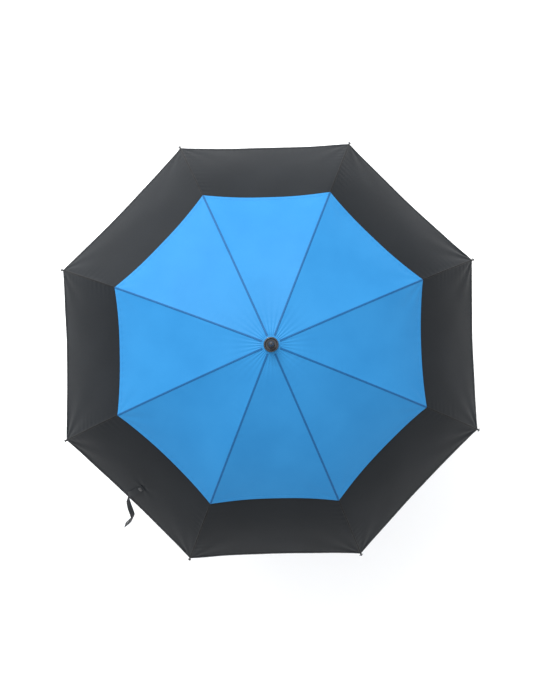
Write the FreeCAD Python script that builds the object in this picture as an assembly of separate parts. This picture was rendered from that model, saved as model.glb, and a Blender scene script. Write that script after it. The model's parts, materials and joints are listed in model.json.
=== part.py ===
"""Manual golf umbrella, open: eight fibreglass ribs and a vented double canopy.

Millimetres, +Z up. The origin is the centre of the handle's bottom end.
A rib is drawn in the XZ plane, along +X, and turned about Z to its place.
Lengths along a rib are counted from its hinge at the crown.
"""
import FreeCAD, Part
import math
import os
from FreeCAD import Vector

# Ribs: eight, evenly spaced, each a round rod in two arcs that meet at the joiner
RIB_COUNT = 8
ROD_RADIUS = 2.0
INNER_LENGTH = 330.0
OUTER_LENGTH = 420.0
CROWN_SLOPE_DEG = 8.0
JOINER_SLOPE_DEG = 24.0
TIP_SLOPE_DEG = 52.0

# Shaft and the hinge wires of the crown and the runner
SHAFT_RADIUS = 7.0
SHAFT_WALL = 1.0
SHAFT_ABOVE_CROWN = 22.0
WIRE_RADIUS = 0.6
EYE_TO_SLEEVE = 0.4

# Crown hub, canopy cap and ferrule
SLOT_CLEARANCE = 0.3
HEAD_BEYOND_HINGE = 2.5
HUB_HALF_HEIGHT = 5.0
CAP_BEYOND_HUB = 6.0
CAP_HEIGHT = 6.0
CAP_DISH = 2.0
CAP_LIP = 3.5
CAP_GAP = 2.5
FERRULE_WALL = 1.6
FERRULE_NOSE_RADIUS = 4.5
FERRULE_ABOVE_SHAFT = 53.0

# Rib eyes, brackets and tips
EYE_LIP = 0.3
EYE_THICKNESS = 3.4
EYE_HOLE_CLEARANCE = 0.3
EYE_CLEARANCE = 0.3
FLEX_GAP = 1.0
SLEEVE_WALL = 1.2
INNER_SLEEVE_LENGTH = 19.0
OUTER_SLEEVE_LENGTH = 14.0
TAB_NECK = 1.3
TAB_THICKNESS = 2.0
RIVET_RADIUS = 1.2
RIVET_HEAD_RADIUS = 2.2
RIVET_HEAD_HEIGHT = 0.6
RUNNING_CLEARANCE = 0.05
TIP_SLEEVE_WALL = 0.9
TIP_SLEEVE_LENGTH = 11.0
TIP_BEAD_LIP = 0.5
TIP_BAR_RADIUS = 1.1
TIP_BAR_LENGTH = 11.0

# Stretchers
STRETCHER_RADIUS = 1.9
FORK_CLEARANCE = 0.3
FORK_WALL = 1.1
FORK_CHEEK = 1.1
FORK_LENGTH = 16.0
THROAT_CLEARANCE = 0.8
FORK_SOCKET_DEPTH = 9.0

# Runner
RUNNER_BORE_CLEARANCE = 0.3
RUNNER_WALL = 2.0
RUNNER_HEAD_HALF_HEIGHT = 4.5
RUNNER_LENGTH = 85.0
PARK_GAP = 16.06
GROOVE_COUNT = 5
GROOVE_PITCH = 6.0
GROOVE_DEPTH = 0.5
GROOVE_WIDTH = 2.0
GROOVE_START = 10.0

# Spring catches and the stop ring on the shaft
CATCH_THICKNESS = 2.2
CATCH_NOSE_LENGTH = 14.0
CATCH_PROUD = 0.9
CATCH_LEG_LENGTH = 34.0
CATCH_LEG_THICKNESS = 1.0
CATCH_LEG_GAP = 1.4
CATCH_CLEARANCE = 0.4
CATCH_WINDOW_CLEARANCE = 0.8
WINDOW_BELOW_HINGE = 62.0
STOP_HEIGHT = 5.0
STOP_WALL = 2.0
STOP_GAP = 0.6

# Handle
CORE_WALL = 4.5
CORE_FLOOR = 21.0
GRIP_WALL = 3.5
GRIP_LENGTH = 156.0
GRIP_EDGE = 1.5
END_CAP_HEIGHT = 9.0
END_CAP_INSET = 0.5
END_CAP_EDGE = 2.0
COLLAR_HEIGHT = 18.0
COLLAR_WALL = 2.0

# Canopy
CLOTH_HEIGHT = 0.9
CLOTH_CLEARANCE = 0.5
CLOTH_SEAM_GAP = 0.4
CLOTH_TO_HUB = 1.5
LAYER_OVERLAP = 72.0
UPPER_RIM_SHARE = 0.911
LOWER_CLOTH_PAST_JOINER = 90.0
CORNER_BEFORE_TIP = 13.0
LOWER_RIM_SHARE = 0.921
LAYER_CLEARANCE = 0.6
PROFILE_STEP = 60.0

# Tie strap, on the outside of one gore, with a snap at each end
STRAP_GORE = 5
STRAP_AZIMUTH_OFFSET_DEG = 1.6
STRAP_WIDTH = 20.0
STRAP_THICKNESS = 1.2
STRAP_CLEARANCE = 1.4
STRAP_SEAT_LENGTH = 50.0
STRAP_FREE_LENGTH = 165.0
STRAP_FREE_SLOPE_DEG = 57.0
SNAP_RADIUS = 6.0
SNAP_HEIGHT = 1.6
SNAP_INSET = 9.0

X = Vector(1, 0, 0)
Y = Vector(0, 1, 0)
Z = Vector(0, 0, 1)
CROWN_SLOPE = math.radians(CROWN_SLOPE_DEG)
JOINER_SLOPE = math.radians(JOINER_SLOPE_DEG)
TIP_SLOPE = math.radians(TIP_SLOPE_DEG)
INNER_BEND = INNER_LENGTH / (JOINER_SLOPE - CROWN_SLOPE)
OUTER_BEND = OUTER_LENGTH / (TIP_SLOPE - JOINER_SLOPE)
RIB_PITCH_DEG = 360.0 / RIB_COUNT
FIRST_RIB_DEG = RIB_PITCH_DEG / 2
HALF_PITCH = math.pi / RIB_COUNT

# Radii that follow from the rod, the strut and the shaft
THICKEST_ROD = max(ROD_RADIUS, STRETCHER_RADIUS)
EYE_RADIUS = THICKEST_ROD + EYE_LIP
EYE_HOLE_RADIUS = WIRE_RADIUS + EYE_HOLE_CLEARANCE
SLEEVE_RADIUS = ROD_RADIUS + SLEEVE_WALL
TIP_SLEEVE_RADIUS = ROD_RADIUS + TIP_SLEEVE_WALL
TIP_BEAD_RADIUS = TIP_SLEEVE_RADIUS + TIP_BEAD_LIP
TAB_RADIUS = STRETCHER_RADIUS + FORK_WALL
PIVOT_DROP = SLEEVE_RADIUS + TAB_NECK + TAB_RADIUS
FORK_THROAT = TAB_RADIUS + THROAT_CLEARANCE
RUNNER_BORE = SHAFT_RADIUS + RUNNER_BORE_CLEARANCE
RUNNER_RADIUS = RUNNER_BORE + RUNNER_WALL
HINGE_RING_RADIUS = RUNNER_RADIUS + EYE_TO_SLEEVE + EYE_RADIUS
HEAD_RADIUS = HINGE_RING_RADIUS + HEAD_BEYOND_HINGE
SLOT_WIDTH = 2 * (THICKEST_ROD + SLOT_CLEARANCE)
SLOT_FLOOR = HINGE_RING_RADIUS - EYE_RADIUS - EYE_CLEARANCE
CAP_RADIUS = HEAD_RADIUS + CAP_BEYOND_HUB
CORE_RADIUS = SHAFT_RADIUS + CORE_WALL
GRIP_RADIUS = CORE_RADIUS + GRIP_WALL

# Where the cloth lies on a rib, and how high above its centreline
CLOTH_LIFT = ROD_RADIUS + CLOTH_CLEARANCE
UPPER_LIFT = CLOTH_LIFT + CLOTH_HEIGHT + LAYER_CLEARANCE
LOWER_CLOTH_START = INNER_LENGTH + LOWER_CLOTH_PAST_JOINER
LOWER_CLOTH_END = INNER_LENGTH + OUTER_LENGTH - CORNER_BEFORE_TIP
UPPER_CLOTH_END = LOWER_CLOTH_START + LAYER_OVERLAP


def rib_offset(length, lift=0.0):
    """Way from the crown hinge to a length along a rib, lifted square to it; and the slope there."""
    if length <= INNER_LENGTH:
        slope = CROWN_SLOPE + length / INNER_BEND
        x = INNER_BEND * (math.sin(slope) - math.sin(CROWN_SLOPE))
        z = -INNER_BEND * (math.cos(CROWN_SLOPE) - math.cos(slope))
    else:
        joiner, _ = rib_offset(INNER_LENGTH)
        slope = JOINER_SLOPE + (length - INNER_LENGTH) / OUTER_BEND
        x = joiner.x + OUTER_BEND * (math.sin(slope) - math.sin(JOINER_SLOPE))
        z = joiner.z - OUTER_BEND * (math.cos(JOINER_SLOPE) - math.cos(slope))
    return Vector(x + lift * math.sin(slope), 0, z + lift * math.cos(slope)), slope


# The linkage: the stretcher is as long as the crown hinge is far from its pivot, so the closed
# runner hangs two stretchers below the crown, and the crown stands that far above its parked place
STRETCHER_LENGTH = rib_offset(INNER_LENGTH, -PIVOT_DROP)[0].Length
GRIP_TOP_Z = END_CAP_HEIGHT + GRIP_LENGTH
HANDLE_TOP_Z = GRIP_TOP_Z + COLLAR_HEIGHT
SHAFT_BOTTOM_Z = END_CAP_HEIGHT + CORE_FLOOR
CROWN_Z = HANDLE_TOP_Z + PARK_GAP + RUNNER_LENGTH + 2 * STRETCHER_LENGTH
CAP_LOW_Z = CROWN_Z + HUB_HALF_HEIGHT + CAP_GAP
CAP_TOP_Z = CAP_LOW_Z + CAP_HEIGHT
SHAFT_TOP_Z = CROWN_Z + SHAFT_ABOVE_CROWN
FERRULE_TOP_Z = SHAFT_TOP_Z + FERRULE_ABOVE_SHAFT
CROWN_HINGE = Vector(HINGE_RING_RADIUS, 0, CROWN_Z)


def rib_point(length, lift=0.0):
    """Point at a length along a rib's centreline, lifted square to it; and the slope there."""
    offset, slope = rib_offset(length, lift)
    return CROWN_HINGE + offset, slope


PIVOT = rib_point(INNER_LENGTH, -PIVOT_DROP)[0]
RUNNER_OPEN_Z = CROWN_Z - 2 * (CROWN_Z - PIVOT.z)
RUNNER_CLOSED_Z = CROWN_Z - 2 * STRETCHER_LENGTH
RUNNER_HINGE = Vector(HINGE_RING_RADIUS, 0, RUNNER_OPEN_Z)


def ring(outer, inner, low, high):
    """A round tube about Z."""
    tube = Part.makeCylinder(outer, high - low, Vector(0, 0, low))
    return tube.cut(Part.makeCylinder(inner, high - low, Vector(0, 0, low)))


def turned(points):
    """A solid turned about Z from an outline of (radius, height) corners."""
    corners = [Vector(r, 0, z) for r, z in points]
    outline = Part.makePolygon(corners + corners[:1])
    return Part.Face(outline).revolve(Vector(0, 0, 0), Z, 360)


def rod_along_rib(start, end, radius):
    """A round rod that follows one arc of the rib between two lengths."""
    point, slope = rib_point(start)
    bend = INNER_BEND if end <= INNER_LENGTH else OUTER_BEND
    tangent = Vector(math.cos(slope), 0, -math.sin(slope))
    centre = point - Vector(math.sin(slope), 0, math.cos(slope)) * bend
    disc = Part.Face(Part.Wire(Part.makeCircle(radius, point, tangent)))
    return disc.revolve(centre, Y, math.degrees((end - start) / bend))


def pin(centre, radius, width):
    """A round pin across the rib's plane, centred on it."""
    return Part.makeCylinder(radius, width, centre - Y * (width / 2), Y)


def eye_at(hinge):
    """The flat ring on a rod's end that turns on a hinge wire."""
    return pin(hinge, EYE_RADIUS, EYE_THICKNESS).cut(pin(hinge, EYE_HOLE_RADIUS, 2 * EYE_THICKNESS))


def slots(reach, low, high):
    """The eight radial slots of a notched head."""
    cutters = []
    for number in range(RIB_COUNT):
        slot = Part.makeBox(reach, SLOT_WIDTH, high - low, Vector(SLOT_FLOOR, -SLOT_WIDTH / 2, low))
        slot.rotate(Vector(0, 0, 0), Z, FIRST_RIB_DEG + RIB_PITCH_DEG * number)
        cutters.append(slot)
    return cutters


def notched_head(bore, half_height, hinge_z):
    """A hub with a slot for every rod and a groove for the hinge wire."""
    low = hinge_z - half_height
    head = ring(HEAD_RADIUS, bore, low, hinge_z + half_height)
    head = head.cut(slots(HEAD_RADIUS, low, hinge_z + half_height))
    groove = Part.makeTorus(HINGE_RING_RADIUS, WIRE_RADIUS + RUNNING_CLEARANCE, Vector(0, 0, hinge_z))
    return head.cut(groove)


def hinge_wire(hinge_z):
    """The wire ring that carries all the eyes."""
    return Part.makeTorus(HINGE_RING_RADIUS, WIRE_RADIUS, Vector(0, 0, hinge_z))


def catch_slot(low, high, reach):
    """The slot that a catch's nose comes through."""
    width = CATCH_THICKNESS + 2 * CATCH_CLEARANCE
    return Part.makeBox(reach, width, high - low, Vector(0, -width / 2, low))


# Levels that the catches share with the shaft and the runner
TOP_CATCH_Z = RUNNER_OPEN_Z - RUNNER_LENGTH - CATCH_CLEARANCE
BOTTOM_CATCH_Z = RUNNER_CLOSED_Z - WINDOW_BELOW_HINGE


def shaft_tube():
    tube = ring(SHAFT_RADIUS, SHAFT_RADIUS - SHAFT_WALL, SHAFT_BOTTOM_Z, SHAFT_TOP_Z)
    top_low = TOP_CATCH_Z - CATCH_NOSE_LENGTH - CATCH_CLEARANCE
    tube = tube.cut(catch_slot(top_low, TOP_CATCH_Z + CATCH_CLEARANCE, 2 * SHAFT_RADIUS))
    bottom_high = BOTTOM_CATCH_Z + CATCH_NOSE_LENGTH + CATCH_CLEARANCE
    return tube.cut(catch_slot(BOTTOM_CATCH_Z - CATCH_CLEARANCE, bottom_high, 2 * SHAFT_RADIUS))


def crown_hub():
    return notched_head(SHAFT_RADIUS, HUB_HALF_HEIGHT, CROWN_Z)


def canopy_cap():
    """The dished washer that holds the cloth down on the hub."""
    return turned([
        (SHAFT_RADIUS, CAP_LOW_Z),
        (CAP_RADIUS - 1.0, CAP_LOW_Z),
        (CAP_RADIUS, CAP_LOW_Z + 1.0),
        (CAP_RADIUS, CAP_TOP_Z - 2.0),
        (CAP_RADIUS - 2.0, CAP_TOP_Z),
        (CAP_RADIUS - CAP_LIP, CAP_TOP_Z),
        (CAP_RADIUS - CAP_LIP - CAP_DISH, CAP_TOP_Z - CAP_DISH),
        (SHAFT_RADIUS, CAP_TOP_Z - CAP_DISH),
    ])


def ferrule_tip():
    """The spike that screws down over the end of the shaft."""
    low = CAP_TOP_Z - CAP_DISH
    base = SHAFT_RADIUS + FERRULE_WALL
    shoulder = SHAFT_TOP_Z + 6.0
    nose = Part.makeSphere(FERRULE_NOSE_RADIUS, Vector(0, 0, FERRULE_TOP_Z - FERRULE_NOSE_RADIUS))
    body = turned([
        (0, low),
        (base, low),
        (base, shoulder),
        (base - 1.4, shoulder + 2.0),
        (FERRULE_NOSE_RADIUS, FERRULE_TOP_Z - FERRULE_NOSE_RADIUS),
        (0, FERRULE_TOP_Z - FERRULE_NOSE_RADIUS),
    ])
    return body.fuse(nose).cut(Part.makeCylinder(SHAFT_RADIUS, SHAFT_TOP_Z - low, Vector(0, 0, low)))


def runner_sleeve():
    """The slider: a notched head above a long sleeve with grip grooves and a latch window."""
    bottom = RUNNER_OPEN_Z - RUNNER_LENGTH
    head_low = RUNNER_OPEN_Z - RUNNER_HEAD_HALF_HEIGHT
    sleeve = ring(RUNNER_RADIUS, RUNNER_BORE, bottom, head_low)
    for number in range(GROOVE_COUNT):
        low = head_low - GROOVE_START - GROOVE_PITCH * number - GROOVE_WIDTH
        sleeve = sleeve.cut(ring(RUNNER_RADIUS + 1.0, RUNNER_RADIUS - GROOVE_DEPTH, low, low + GROOVE_WIDTH))
    window_low = RUNNER_OPEN_Z - WINDOW_BELOW_HINGE - CATCH_WINDOW_CLEARANCE
    window_high = window_low + CATCH_NOSE_LENGTH + 2 * CATCH_WINDOW_CLEARANCE
    sleeve = sleeve.cut(catch_slot(window_low, window_high, 2 * RUNNER_RADIUS))
    return sleeve.fuse(notched_head(RUNNER_BORE, RUNNER_HEAD_HALF_HEIGHT, RUNNER_OPEN_Z))


def spring_catch(stop_z, direction):
    """A leaf in the shaft with a nose through its slot: square at stop_z, sloped the other way."""
    tip = RUNNER_RADIUS + CATCH_PROUD
    front = SHAFT_RADIUS - SHAFT_WALL - CATCH_LEG_GAP
    back = front - CATCH_LEG_THICKNESS
    nose_end = stop_z + direction * CATCH_NOSE_LENGTH
    leg_end = nose_end + direction * CATCH_LEG_LENGTH
    corners = [
        Vector(back, 0, stop_z),
        Vector(tip, 0, stop_z),
        Vector(SHAFT_RADIUS - SHAFT_WALL - CATCH_CLEARANCE, 0, nose_end),
        Vector(front, 0, nose_end),
        Vector(front, 0, leg_end),
        Vector(back, 0, leg_end),
    ]
    outline = Part.Face(Part.makePolygon(corners + corners[:1]))
    outline.translate(Y * (-CATCH_THICKNESS / 2))
    return outline.extrude(Y * CATCH_THICKNESS)


def top_stop():
    """The ring that stops the runner above its open place."""
    low = RUNNER_OPEN_Z + RUNNER_HEAD_HALF_HEIGHT + STOP_GAP
    return ring(SHAFT_RADIUS + STOP_WALL, SHAFT_RADIUS, low, low + STOP_HEIGHT)


def rib_inner():
    """Eye and rod from the crown to the joiner, and the bracket that is crimped on its end."""
    rod = rod_along_rib(EYE_RADIUS - 0.6, INNER_LENGTH - FLEX_GAP, ROD_RADIUS)
    return Part.Compound([eye_at(CROWN_HINGE).fuse(rod), rib_bracket()])


def rib_bracket():
    """A crimped sleeve with a tab down to the stretcher's rivet."""
    start = INNER_LENGTH - INNER_SLEEVE_LENGTH
    end = INNER_LENGTH - FLEX_GAP
    seat, _ = rib_point(INNER_LENGTH - INNER_SLEEVE_LENGTH / 2, -SLEEVE_RADIUS + 0.4)
    corner, _ = rib_point(end - 0.2, -SLEEVE_RADIUS + 0.4)
    shoulder, _ = rib_point(INNER_LENGTH + TAB_RADIUS - 0.6, -PIVOT_DROP + 1.5)
    heel, _ = rib_point(INNER_LENGTH - TAB_RADIUS, -PIVOT_DROP)
    outline = Part.Face(Part.makePolygon([seat, corner, shoulder, PIVOT, heel, seat]))
    outline.translate(Y * (-TAB_THICKNESS / 2))
    tab = outline.extrude(Y * TAB_THICKNESS).fuse(pin(PIVOT, TAB_RADIUS, TAB_THICKNESS))
    sleeve = rod_along_rib(start, end, SLEEVE_RADIUS)
    bracket = sleeve.fuse(tab).cut(rod_along_rib(start - 1.0, end, ROD_RADIUS))
    return bracket.cut(pin(PIVOT, RIVET_RADIUS + RUNNING_CLEARANCE, 2 * TAB_THICKNESS))


def rib_outer():
    """Rod from the joiner to the tip, with its crimped sleeve and its moulded tip."""
    start = INNER_LENGTH + FLEX_GAP
    end = INNER_LENGTH + OUTER_LENGTH
    rod = rod_along_rib(start, end, ROD_RADIUS)
    sleeve = rod_along_rib(start, start + OUTER_SLEEVE_LENGTH, SLEEVE_RADIUS)
    return Part.Compound([rod, sleeve.cut(rod), rib_tip().cut(rod)])


def rib_tip():
    """A moulded cup over the rod's end, with a bead and a small bar for the thread."""
    end = INNER_LENGTH + OUTER_LENGTH
    cup = rod_along_rib(end - TIP_SLEEVE_LENGTH, end, TIP_SLEEVE_RADIUS)
    bead = Part.makeSphere(TIP_BEAD_RADIUS, rib_point(end)[0])
    return cup.fuse([bead, pin(rib_point(end)[0], TIP_BAR_RADIUS, TIP_BAR_LENGTH)])


def stretcher():
    """Strut with an eye for the runner's wire and a riveted fork at the rib's bracket."""
    along = (RUNNER_HINGE - PIVOT).normalize()
    seat = PIVOT + along * (FORK_LENGTH - FORK_SOCKET_DEPTH)
    rod_length = STRETCHER_LENGTH - (FORK_LENGTH - FORK_SOCKET_DEPTH) - EYE_RADIUS + 0.6
    rod = Part.makeCylinder(STRETCHER_RADIUS, rod_length, seat, along)
    strut = eye_at(RUNNER_HINGE).fuse(rod)
    rivet_width = TAB_THICKNESS + 2 * (FORK_CLEARANCE + FORK_CHEEK)
    return Part.Compound([strut, stretcher_fork(along, rod, rivet_width), rivet(rivet_width)])


def stretcher_fork(along, rod, width):
    """A round socket over the rod's end that splits into two cheeks beside the bracket's tab."""
    body = Part.makeCylinder(TAB_RADIUS, FORK_LENGTH, PIVOT, along).fuse(pin(PIVOT, TAB_RADIUS, width))
    gap = TAB_THICKNESS + 2 * FORK_CLEARANCE
    reach = 4 * TAB_RADIUS
    throat = Part.makeBox(reach, gap, reach, Vector(-FORK_THROAT, -gap / 2, -reach / 2))
    flat = Part.makeBox(2 * reach, reach, reach, Vector(-FORK_LENGTH, width / 2, -reach / 2))
    other_flat = flat.mirror(Vector(0, 0, 0), Y)
    tilt = math.degrees(math.atan2(-along.z, -along.x))
    for cutter in (throat, flat, other_flat):
        cutter.rotate(Vector(0, 0, 0), Y, -tilt)
        cutter.translate(PIVOT)
        body = body.cut(cutter)
    return body.cut(rod).cut(pin(PIVOT, RIVET_RADIUS, 2 * width))


def rivet(width):
    """The rivet through the fork's cheeks, with its two heads."""
    shank = pin(PIVOT, RIVET_RADIUS, width)
    heads = pin(PIVOT, RIVET_HEAD_RADIUS, width + 2 * RIVET_HEAD_HEIGHT)
    return shank.fuse(heads.cut(pin(PIVOT, RIVET_HEAD_RADIUS + 1.0, width)))


def handle_core():
    floor = Part.makeCylinder(CORE_RADIUS, CORE_FLOOR, Vector(0, 0, END_CAP_HEIGHT))
    return ring(CORE_RADIUS, SHAFT_RADIUS, SHAFT_BOTTOM_Z, GRIP_TOP_Z).fuse(floor)


def handle_grip():
    """Foam grip: straight, with a small chamfer at each end."""
    return turned([
        (CORE_RADIUS, END_CAP_HEIGHT),
        (GRIP_RADIUS - GRIP_EDGE, END_CAP_HEIGHT),
        (GRIP_RADIUS, END_CAP_HEIGHT + GRIP_EDGE),
        (GRIP_RADIUS, GRIP_TOP_Z - GRIP_EDGE),
        (GRIP_RADIUS - GRIP_EDGE, GRIP_TOP_Z),
        (CORE_RADIUS, GRIP_TOP_Z),
    ])


def handle_end_cap():
    radius = GRIP_RADIUS - END_CAP_INSET
    return turned([
        (0, 0),
        (radius - END_CAP_EDGE, 0),
        (radius, END_CAP_EDGE),
        (radius, END_CAP_HEIGHT),
        (0, END_CAP_HEIGHT),
    ])


def handle_collar():
    """The tapered collar between the grip and the shaft."""
    return turned([
        (SHAFT_RADIUS, GRIP_TOP_Z),
        (GRIP_RADIUS - GRIP_EDGE, GRIP_TOP_Z),
        (GRIP_RADIUS - GRIP_EDGE, GRIP_TOP_Z + 4.0),
        (SHAFT_RADIUS + COLLAR_WALL, HANDLE_TOP_Z),
        (SHAFT_RADIUS, HANDLE_TOP_Z),
    ])


def gore_profile(lift):
    """The curve of a gore along its middle, from before the crown to past the tips."""
    points = []
    length = -PROFILE_STEP
    while length < INNER_LENGTH + OUTER_LENGTH + PROFILE_STEP:
        on_rib, _ = rib_point(length, lift)
        points.append(Vector(on_rib.x * math.cos(HALF_PITCH), 0, on_rib.z))
        length += PROFILE_STEP
    curve = Part.BSplineCurve()
    curve.interpolate(points)
    return curve.toShape()


def gore_outline(start_radius, start_share, end_radius, end_share):
    """A gore seen from above: two straight seams, and an arc at each end through its middle."""
    inward = CLOTH_SEAM_GAP / 2

    def corner(radius, side):
        x = radius * math.cos(HALF_PITCH) + inward * math.sin(HALF_PITCH)
        y = radius * math.sin(HALF_PITCH) - inward * math.cos(HALF_PITCH)
        return Vector(x, side * y, 0)

    near = [corner(start_radius, -1), Vector(start_radius * start_share, 0, 0), corner(start_radius, 1)]
    far = [corner(end_radius, 1), Vector(end_radius * end_share, 0, 0), corner(end_radius, -1)]
    edges = [
        Part.Arc(*near).toShape(),
        Part.LineSegment(near[2], far[0]).toShape(),
        Part.Arc(*far).toShape(),
        Part.LineSegment(far[2], near[0]).toShape(),
    ]
    return Part.Face(Part.Wire(edges))


def gore(lift, outline):
    """A gore of cloth: a sheet that is straight from rib to rib, cut to its outline."""
    width = 2 * (INNER_LENGTH + OUTER_LENGTH) * math.tan(HALF_PITCH)
    section = gore_profile(lift).extrude(Z * CLOTH_HEIGHT)
    section.translate(Y * (-width / 2))
    sheet = section.extrude(Y * width)
    outline.translate(Z * (CROWN_Z - 2 * OUTER_LENGTH))
    return sheet.common(outline.extrude(Z * 3 * OUTER_LENGTH))


def upper_panel():
    edge_radius = rib_point(UPPER_CLOTH_END, UPPER_LIFT)[0].x
    return gore(UPPER_LIFT, gore_outline(HEAD_RADIUS + CLOTH_TO_HUB, 1.0, edge_radius, UPPER_RIM_SHARE))


def lower_panel():
    start = rib_point(LOWER_CLOTH_START, CLOTH_LIFT)[0].x
    edge = rib_point(LOWER_CLOTH_END, CLOTH_LIFT)[0].x
    straight = 0.999 * math.cos(HALF_PITCH)
    return gore(CLOTH_LIFT, gore_outline(start, straight, edge, LOWER_RIM_SHARE))


def cloth_surface(x):
    """Height of the lower canopy's outer face over a distance from the shaft, on a gore's middle."""
    low = LOWER_CLOTH_START
    high = INNER_LENGTH + OUTER_LENGTH + PROFILE_STEP
    while high - low > 0.01:
        middle = (low + high) / 2
        if rib_point(middle, CLOTH_LIFT)[0].x * math.cos(HALF_PITCH) < x:
            low = middle
        else:
            high = middle
    return rib_point(low, CLOTH_LIFT)[0].z + CLOTH_HEIGHT


def strap_line():
    """Where the strap's underside runs: sewn end, half way, the rim, and its free end."""
    edge_x = rib_point(LOWER_CLOTH_END, CLOTH_LIFT)[0].x * LOWER_RIM_SHARE
    slope = math.radians(STRAP_FREE_SLOPE_DEG)
    line = []
    for share in (1.0, 0.5, 0.0):
        x = edge_x - share * STRAP_SEAT_LENGTH * math.cos(slope)
        line.append(Vector(x, 0, cloth_surface(x) + STRAP_CLEARANCE))
    free = Vector(math.cos(slope), 0, -math.sin(slope)) * STRAP_FREE_LENGTH
    return line + [line[-1] + free]


def place_on_gore(shape, number):
    """Turn a shape drawn along +X to the middle of a gore, and on by the strap's own offset."""
    shape.rotate(Vector(0, 0, 0), Z, RIB_PITCH_DEG * number + STRAP_AZIMUTH_OFFSET_DEG)
    return shape


def tie_strap():
    """A flat band that lies on the gore and hangs past the rim."""
    under = strap_line()
    rise = Z * (STRAP_THICKNESS / math.cos(math.radians(STRAP_FREE_SLOPE_DEG)))
    over = [point + rise for point in reversed(under)]
    side = Part.Face(Part.makePolygon(under + over + under[:1]))
    side.translate(Y * (-STRAP_WIDTH / 2))
    return place_on_gore(side.extrude(Y * STRAP_WIDTH), STRAP_GORE)


def strap_snap():
    """The two halves of the press stud, on the strap's outer face at its two ends."""
    under = strap_line()
    rise = Z * (STRAP_THICKNESS / math.cos(math.radians(STRAP_FREE_SLOPE_DEG)))
    halves = []
    for end, towards in ((under[0], under[1]), (under[-1], under[-2])):
        along = (towards - end).normalize()
        out = Vector(-along.z, 0, along.x)
        if out.z < 0:
            out = out * -1
        halves.append(Part.makeCylinder(SNAP_RADIUS, SNAP_HEIGHT, end + rise + along * SNAP_INSET, out))
    return place_on_gore(Part.Compound(halves), STRAP_GORE)


def save(name, shape, turn_deg=0.0):
    """Write one sub-part, turned about the shaft to its place."""
    placed = shape.copy()
    placed.rotate(Vector(0, 0, 0), Z, turn_deg)
    placed.exportStep("parts/" + name + ".step")


def save_all():
    os.makedirs("parts", exist_ok=True)
    save("shaft_tube", shaft_tube())
    save("crown_hub", crown_hub())
    save("crown_wire", hinge_wire(CROWN_Z))
    save("canopy_cap", canopy_cap())
    save("ferrule_tip", ferrule_tip())
    save("top_stop", top_stop())
    save("handle_core", handle_core())
    save("handle_grip", handle_grip())
    save("handle_end_cap", handle_end_cap())
    save("handle_collar", handle_collar())
    save("runner_sleeve", runner_sleeve())
    save("runner_wire", hinge_wire(RUNNER_OPEN_Z))
    save("top_catch", spring_catch(TOP_CATCH_Z, -1))
    save("bottom_catch", spring_catch(BOTTOM_CATCH_Z, 1))
    save("tie_strap", tie_strap())
    save("strap_snap", strap_snap())
    on_rib = {"rib_inner": rib_inner(), "rib_outer": rib_outer(), "stretcher": stretcher()}
    on_gore = {"upper_panel": upper_panel(), "lower_panel": lower_panel()}
    for number in range(1, RIB_COUNT + 1):
        for name, shape in on_rib.items():
            save(f"{name}_{number}", shape, FIRST_RIB_DEG + RIB_PITCH_DEG * (number - 1))
        for name, shape in on_gore.items():
            save(f"{name}_{number}", shape, RIB_PITCH_DEG * number)


save_all()
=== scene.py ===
import json
import math

import bpy
from mathutils import Matrix, Vector, noise


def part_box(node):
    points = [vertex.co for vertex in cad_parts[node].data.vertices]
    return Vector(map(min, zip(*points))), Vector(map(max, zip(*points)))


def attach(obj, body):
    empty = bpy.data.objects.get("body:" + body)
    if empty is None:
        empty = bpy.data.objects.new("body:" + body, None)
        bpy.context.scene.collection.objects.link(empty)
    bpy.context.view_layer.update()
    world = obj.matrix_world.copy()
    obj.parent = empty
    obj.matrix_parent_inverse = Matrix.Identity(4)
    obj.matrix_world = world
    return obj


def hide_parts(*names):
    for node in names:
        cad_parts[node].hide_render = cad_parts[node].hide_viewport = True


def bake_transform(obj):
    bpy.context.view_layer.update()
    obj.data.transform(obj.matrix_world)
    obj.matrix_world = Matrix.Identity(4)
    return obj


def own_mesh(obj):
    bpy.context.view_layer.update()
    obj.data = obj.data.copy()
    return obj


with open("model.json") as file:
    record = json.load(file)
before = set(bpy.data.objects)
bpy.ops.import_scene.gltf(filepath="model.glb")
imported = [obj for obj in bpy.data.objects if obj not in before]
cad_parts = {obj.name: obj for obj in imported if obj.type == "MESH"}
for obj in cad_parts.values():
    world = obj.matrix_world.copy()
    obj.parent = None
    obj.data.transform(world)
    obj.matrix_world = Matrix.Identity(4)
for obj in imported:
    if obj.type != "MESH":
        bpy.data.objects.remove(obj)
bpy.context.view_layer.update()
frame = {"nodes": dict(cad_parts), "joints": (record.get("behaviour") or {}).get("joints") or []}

joint_at = {joint["name"]: Vector(joint["pos_m"]) for joint in frame["joints"] if "pos_m" in joint}


# Camera: straight above the open canopy, leaning a little towards -Y and -X,
# so the ferrule stands slightly off the middle of the octagon.
CAMERA_HEIGHT = 4.5
CAMERA_ELEVATION = math.radians(87.6)
CAMERA_AZIMUTH = math.radians(-13.0)
CAMERA_ROLL = math.radians(-1.5)

rim_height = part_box("rib_outer_1")[0].z
camera_back = Vector((
    math.sin(CAMERA_AZIMUTH) * math.cos(CAMERA_ELEVATION),
    -math.cos(CAMERA_AZIMUTH) * math.cos(CAMERA_ELEVATION),
    math.sin(CAMERA_ELEVATION),
))
camera_data = bpy.data.cameras.new("camera")
camera_data.lens = 78.7
camera_data.clip_end = 60.0
camera = bpy.data.objects.new("camera", camera_data)
bpy.context.scene.collection.objects.link(camera)
camera.location = Vector((0, 0, rim_height)) + camera_back * CAMERA_HEIGHT
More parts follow.
